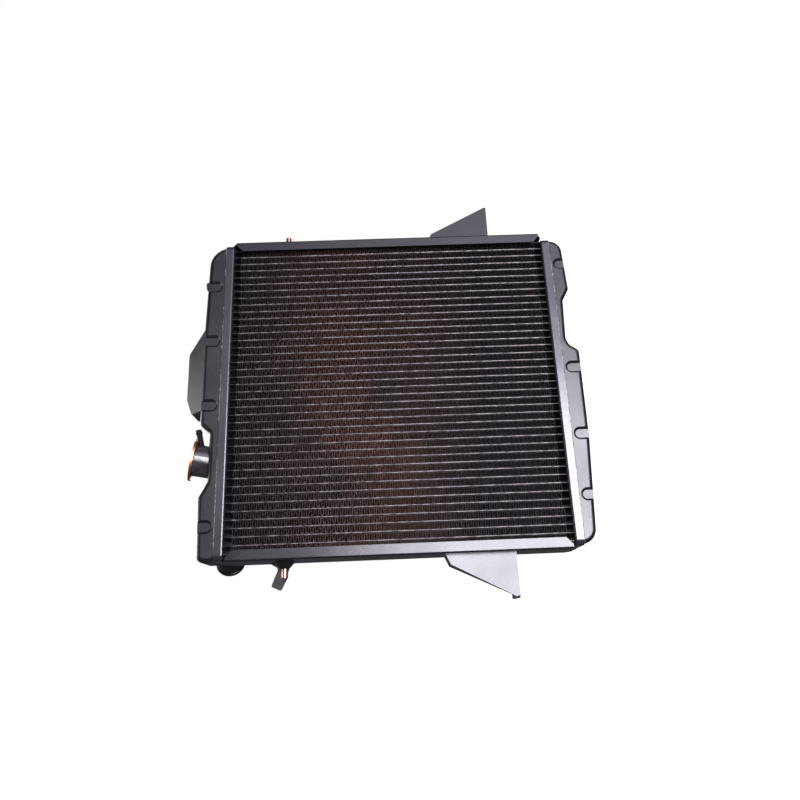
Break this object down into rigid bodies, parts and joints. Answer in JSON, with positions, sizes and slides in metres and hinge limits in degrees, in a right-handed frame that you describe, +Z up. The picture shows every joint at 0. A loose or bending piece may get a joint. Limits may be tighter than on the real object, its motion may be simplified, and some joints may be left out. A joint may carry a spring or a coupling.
{
  "type": "car radiator",
  "caption": "Down-flow copper and brass car radiator with pressed black tanks, side channels, gusseted feet, filler neck, hose necks and a drain tap that turns.",
  "frame": {"origin": "midway between the two foot bolt holes, on the underside of the feet", "axes": "+Z up through the core, +Y towards the engine, +X to the right seen from the front"},
  "size_m": [0.574, 0.1292, 0.5576],
  "materials": {
    "black_paint": "satin",
    "gloss_paint": "gloss",
    "black_steel": "satin",
    "brass_core": "dull, painted thinly",
    "copper_fin": "dark copper, thinly painted",
    "copper_neck": "polished",
    "copper_stud": "copper plated steel",
    "copper_washer": "dull",
    "bare_brass": "satin"
  },
  "bodies": {
    "radiator": {"core_tubes": "brass_core", "core_fins": "copper_fin", "right_core_side": "brass_core", "left_core_side": "brass_core", "top_header": "black_paint", "bottom_header": "black_paint", "top_tank": "black_paint", "bottom_tank": "black_paint", "inlet_neck": "black_paint", "outlet_neck": "black_paint", "right_side_channel": "black_steel", "left_side_channel": "black_steel", "right_gusset": "black_steel", "left_gusset": "black_steel", "right_foot": "black_steel", "left_foot": "black_steel", "left_side_lug": "black_steel", "right_stud_boss": "black_steel", "left_stud_boss": "black_steel", "filler_neck": "gloss_paint", "filler_flange": "copper_neck", "filler_seat": "bare_brass", "overflow_nipple": "gloss_paint", "vent_boss": "bare_brass", "vent_washer": "copper_washer", "vent_plug": "black_paint", "right_side_stud": "copper_stud", "left_side_stud": "copper_stud", "drain_boss": "bare_brass", "drain_tap_body": "bare_brass"},
    "drain_key": {"drain_tap_key": "bare_brass"}
  },
  "joints": [
    {"name": "drain_key_turn", "type": "hinge", "parent": "radiator", "child": "drain_key", "pos_m": [-0.06, 0.0453, -0.0995], "axis": [0, 1, 0], "range_deg": [0, 90]}
  ]
}
